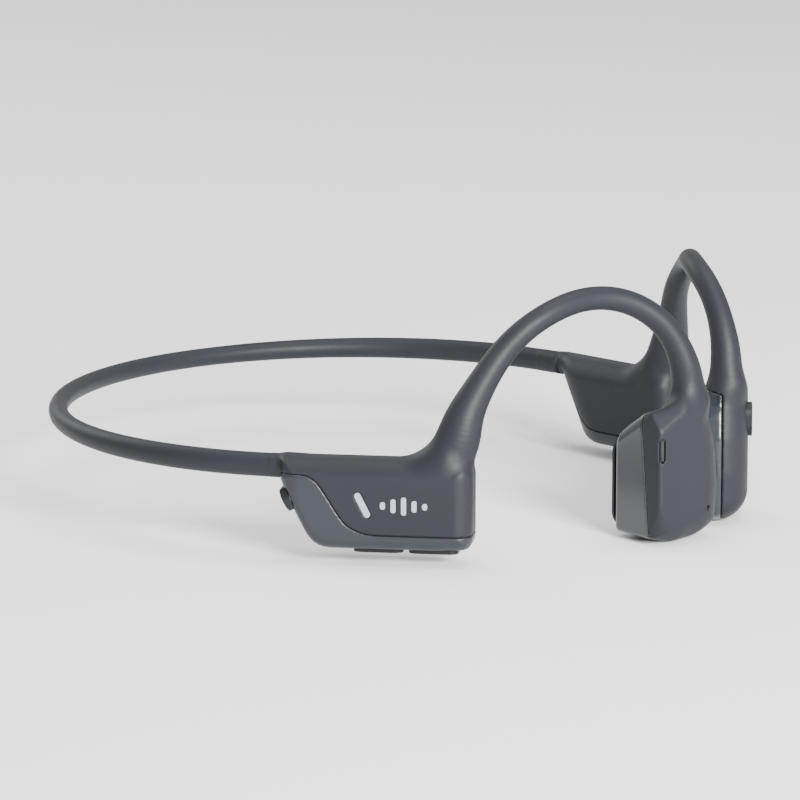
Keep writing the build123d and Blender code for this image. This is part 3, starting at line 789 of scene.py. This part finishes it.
def build_strand(name, path, reference, mirrored):
    """Thin round strand along a path, its rings squared to a reference direction."""
    tangent = np.gradient(path, axis=0)
    tangent /= np.linalg.norm(tangent, axis=1)[:, None]
    up = np.array(reference) - tangent * (tangent @ np.array(reference))[:, None]
    up /= np.linalg.norm(up, axis=1)[:, None]
    across = np.cross(up, tangent)
    angle = 2 * np.pi * np.arange(strand_sides) / strand_sides
    ring = across[:, None] * np.cos(angle)[:, None] + up[:, None] * np.sin(angle)[:, None]
    return build_tube(name, path[:, None] + ring * strand_radius, mirrored)


def build_strands(side):
    """Spring wire and cable of half the band and of one hook."""
    left = side == "left"
    band = np.array([(place[0], place[1], band_z) for place, _ in band_line()])
    hook = hook_path[:, :3]
    pieces = []
    for stem, shift, look in (
        ("wire", strand_offset, "spring_wire"),
        ("cable", -strand_offset, "cable_jacket"),
    ):
        piece = build_strand(f"visual_{side}_band_{stem}", band + (0, 0, shift), (0, 0, 1), left)
        blend_band(piece)
        if not left:
            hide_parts(f"neckband_{stem}")
        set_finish(piece, look)
        pieces.append(piece)
        path = hook + np.array(hook_across) * shift
        piece = build_strand(f"visual_{side}_hook_{stem}", path, hook_across, left)
        blend_hook(piece)
        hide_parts(f"{side}_hook_{stem}")
        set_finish(piece, look)
        pieces.append(piece)
    return pieces


# Mark


def build_mark():
    """Plain mark of upright bars on the right module's outer face."""
    field = Field(*mark_box, step=mark_cell)
    along, up, outward = field.local(arm_origin, arm_heading)
    bars = np.full(field.size, far_away)
    for index, height in enumerate(mark_heights):
        centre = (mark_start + mark_pitch * index, mark_level)
        bar = box_bar(along, up, centre, (mark_width, height), mark_corner)
        bars = np.minimum(bars, bar)
    solid = np.maximum(bars, np.abs(outward - module_outer + mark_sink) - mark_half_depth)
    piece = mesh_from_field(field, solid, "visual_mark")
    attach(piece, "right_arm")
    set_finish(piece, "window")
    return piece


# Materials


def noise_node(material, scale, detail):
    """Noise texture in object coordinates."""
    nodes = material.node_tree.nodes
    place = nodes.new("ShaderNodeTexCoord")
    noise = nodes.new("ShaderNodeTexNoise")
    noise.inputs["Scale"].default_value = scale
    noise.inputs["Detail"].default_value = detail
    material.node_tree.links.new(place.outputs["Object"], noise.inputs["Vector"])
    return noise.outputs["Fac"]


def surface(name, color, roughness, grain, bump, spread, metallic=0.0, coat=0.0, shine=0.5):
    """Procedural surface: a cloudy noise varies its colour, a fine one its roughness and relief."""
    material = bpy.data.materials.new(name)
    material.use_nodes = True
    nodes = material.node_tree.nodes
    links = material.node_tree.links
    shader = nodes["Principled BSDF"]
    cloud = noise_node(material, cloud_scale, cloud_detail)
    fine = noise_node(material, grain, grain_detail)
    ramp = nodes.new("ShaderNodeValToRGB")
    dark, light = ramp.color_ramp.elements
    dark.position = 0.5 - cloud_reach
    dark.color = (*(c * (1 - spread) for c in color), 1)
    light.position = 0.5 + cloud_reach
    light.color = (*(c * (1 + spread) for c in color), 1)
    links.new(cloud, ramp.inputs["Fac"])
    links.new(ramp.outputs["Color"], shader.inputs["Base Color"])
    span = nodes.new("ShaderNodeMapRange")
    span.inputs["To Min"].default_value = roughness - roughness_reach
    span.inputs["To Max"].default_value = roughness + roughness_reach
    links.new(fine, span.inputs["Value"])
    links.new(span.outputs["Result"], shader.inputs["Roughness"])
    relief = nodes.new("ShaderNodeBump")
    relief.inputs["Strength"].default_value = bump
    relief.inputs["Distance"].default_value = relief_depth
    links.new(fine, relief.inputs["Height"])
    links.new(relief.outputs["Normal"], shader.inputs["Normal"])
    shader.inputs["Metallic"].default_value = metallic
    shader.inputs["Specular IOR Level"].default_value = shine
    shader.inputs["Coat Weight"].default_value = coat
    shader.inputs["Coat Roughness"].default_value = coat_roughness
    return material


cloud_scale = 60.0
cloud_detail = 4.0
cloud_reach = 0.2
grain_detail = 3.0
roughness_reach = 0.06
relief_depth = 0.0002
coat_roughness = 0.08

# Each look: colour, roughness, grain, bump, spread of the colour, and what else it needs.
looks = {
    "silicone_skin": surface(
        "silicone_skin", (0.0128, 0.0138, 0.0178), 0.52, 1400.0, 0.10, 0.05, shine=0.22
    ),
    "hard_cover": surface("hard_cover", (0.016, 0.019, 0.0235), 0.40, 2200.0, 0.06, 0.05, shine=0.35),
    "gloss_housing": surface("gloss_housing", (0.014, 0.017, 0.023), 0.2, 900.0, 0.02, 0.05, coat=0.15),
    "pad_silicone": surface("pad_silicone", (0.010, 0.011, 0.014), 0.6, 1400.0, 0.1, 0.05, shine=0.25),
    "button_plastic": surface(
        "button_plastic", (0.006, 0.0065, 0.0075), 0.42, 1800.0, 0.08, 0.06, shine=0.3
    ),
    "spring_wire": surface("spring_wire", (0.55, 0.55, 0.56), 0.3, 1200.0, 0.05, 0.05, metallic=1.0),
    "cable_jacket": surface("cable_jacket", (0.02, 0.02, 0.02), 0.5, 1000.0, 0.05, 0.1),
    "frame_plastic": surface("frame_plastic", (0.035, 0.035, 0.038), 0.5, 1200.0, 0.08, 0.08),
    "gasket_rubber": surface("gasket_rubber", (0.02, 0.02, 0.02), 0.7, 900.0, 0.1, 0.1),
    "screw_steel": surface("screw_steel", (0.45, 0.45, 0.46), 0.3, 1500.0, 0.05, 0.05, metallic=1.0),
    "board": surface("board", (0.015, 0.10, 0.04), 0.4, 600.0, 0.05, 0.15, coat=0.4),
    "port_metal": surface("port_metal", (0.30, 0.30, 0.31), 0.25, 1500.0, 0.03, 0.05, metallic=1.0),
    "port_rim": surface("port_rim", (0.007, 0.008, 0.0095), 0.42, 1500.0, 0.06, 0.06, shine=0.3),
    "led": surface("led", (0.8, 0.8, 0.76), 0.3, 800.0, 0.02, 0.03),
    "window": surface("window", (0.30, 0.325, 0.385), 0.4, 1200.0, 0.03, 0.04, coat=0.1),
    "switch_metal": surface("switch_metal", (0.5, 0.5, 0.5), 0.3, 1200.0, 0.04, 0.05, metallic=1.0),
    "cell_foil": surface("cell_foil", (0.6, 0.6, 0.62), 0.35, 500.0, 0.15, 0.05, metallic=1.0),
    "magnet": surface("magnet", (0.6, 0.6, 0.62), 0.25, 1200.0, 0.03, 0.05, metallic=1.0),
    "yoke": surface("yoke", (0.4, 0.4, 0.42), 0.35, 1200.0, 0.04, 0.05, metallic=1.0),
    "copper": surface("copper", (0.62, 0.28, 0.14), 0.35, 3000.0, 0.3, 0.08, metallic=1.0),
    "mesh": surface("mesh", (0.012, 0.012, 0.013), 0.6, 3500.0, 0.5, 0.2),
    "speaker_plastic": surface("speaker_plastic", (0.02, 0.02, 0.02), 0.5, 1200.0, 0.06, 0.1),
}


def paint(piece, slot_name):
    """Give a piece the look of its material slot."""
    piece.data.materials.clear()
    piece.data.materials.append(looks[slot_name])


# Assembly

slot_of_node = {entry["node"]: entry["material_slot"] for entry in frame["record"]["subparts"]}
for node, piece in frame["nodes"].items():
    paint(piece, slot_of_node[node])
for node in (
    "volume_up_button",
    "volume_down_button",
    "multifunction_button",
    "right_contact_pad",
    "left_contact_pad",
    "port_rim",
):
    bevel = frame["nodes"][node].modifiers.new("edge", "BEVEL")
    bevel.width = bevel_width * MM
    bevel.segments = bevel_segments
    bevel.limit_method = "ANGLE"

made = []
for side in ("right", "left"):
    made.append(build_cover(side))
    made.append(build_skin(side))
    made.append(build_bezel(side))
    made.append(build_band(side))
    made.append(build_dark_slots(side))
    made += build_strands(side)
made.append(build_mark())
for piece in made:
    paint(piece, piece["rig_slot"])


# Stage, light and camera


def build_stage():
    """Plain pale floor."""
    bpy.ops.mesh.primitive_plane_add(size=floor_size, location=(0, 0, 0))
    floor = bpy.context.object
    floor.name = "floor"
    material = bpy.data.materials.new("floor")
    material.use_nodes = True
    shader = material.node_tree.nodes["Principled BSDF"]
    shader.inputs["Base Color"].default_value = floor_color
    shader.inputs["Roughness"].default_value = floor_roughness
    floor.data.materials.append(material)


def build_light():
    """White surroundings and three square lamps aimed at the headphones."""
    world = bpy.data.worlds.new("studio")
    world.use_nodes = True
    background = world.node_tree.nodes["Background"]
    background.inputs["Color"].default_value = (1, 1, 1, 1)
    background.inputs["Strength"].default_value = world_strength
    bpy.context.scene.world = world
    for name, place, size, power in lamps:
        lamp = bpy.data.lights.new(name, "AREA")
        lamp.size = size
        lamp.energy = power
        source = bpy.data.objects.new(name, lamp)
        source.location = place
        aim = Vector(lamp_aim) - Vector(place)
        source.rotation_euler = aim.to_track_quat("-Z", "Y").to_euler()
        bpy.context.scene.collection.objects.link(source)


def build_camera():
    """Long lens on the right side, a little in front of it and above."""
    lens = bpy.data.cameras.new("camera")
    lens.sensor_width = camera_sensor
    lens.lens = camera_lens
    camera = bpy.data.objects.new("camera", lens)
    camera.location = Vector(camera_place) * MM
    camera.rotation_euler = Vector(camera_forward).to_track_quat("-Z", "Y").to_euler()
    bpy.context.scene.collection.objects.link(camera)
    bpy.context.scene.camera = camera


build_stage()
build_light()
build_camera()
